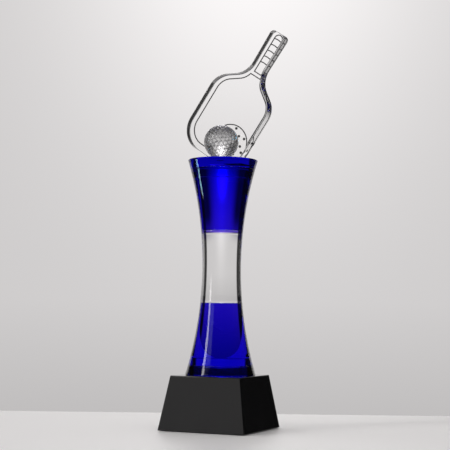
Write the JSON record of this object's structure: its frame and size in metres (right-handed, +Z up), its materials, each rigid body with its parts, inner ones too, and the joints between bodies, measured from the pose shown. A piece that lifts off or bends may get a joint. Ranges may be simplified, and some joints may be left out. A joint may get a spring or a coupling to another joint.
{
  "type": "column trophy",
  "caption": "Crystal award: a tapered black base, a solid waisted blue and clear glass column, and a tilted clear paddle plate with a dimpled ball on its cap.",
  "frame": {"origin": "centre of the square underside of the base, where the trophy stands", "axes": "+Z up along the column; -Y is the front, where the ball stands before the paddle; the paddle leans towards +X"},
  "size_m": [0.116, 0.0998, 0.434],
  "materials": {
    "felt": "pressed felt",
    "black_crystal": "polished opaque black crystal",
    "blue_crystal": "polished cobalt blue crystal",
    "clear_crystal": "polished clear crystal",
    "ball_crystal": "polished clear crystal with pressed dimples",
    "adhesive": "clear cured adhesive"
  },
  "bodies": {
    "root": {"base_pad": "felt", "base_block": "black_crystal", "base_adhesive": "adhesive", "column_foot": "blue_crystal", "foot_adhesive": "adhesive", "lower_column": "blue_crystal", "lower_adhesive": "adhesive", "middle_column": "clear_crystal", "upper_adhesive": "adhesive", "upper_column": "blue_crystal", "cap_adhesive": "adhesive", "column_cap": "blue_crystal", "ball_adhesive": "adhesive", "crystal_ball": "ball_crystal", "paddle_adhesive": "adhesive", "paddle_plate": "clear_crystal"}
  },
  "joints": []
}
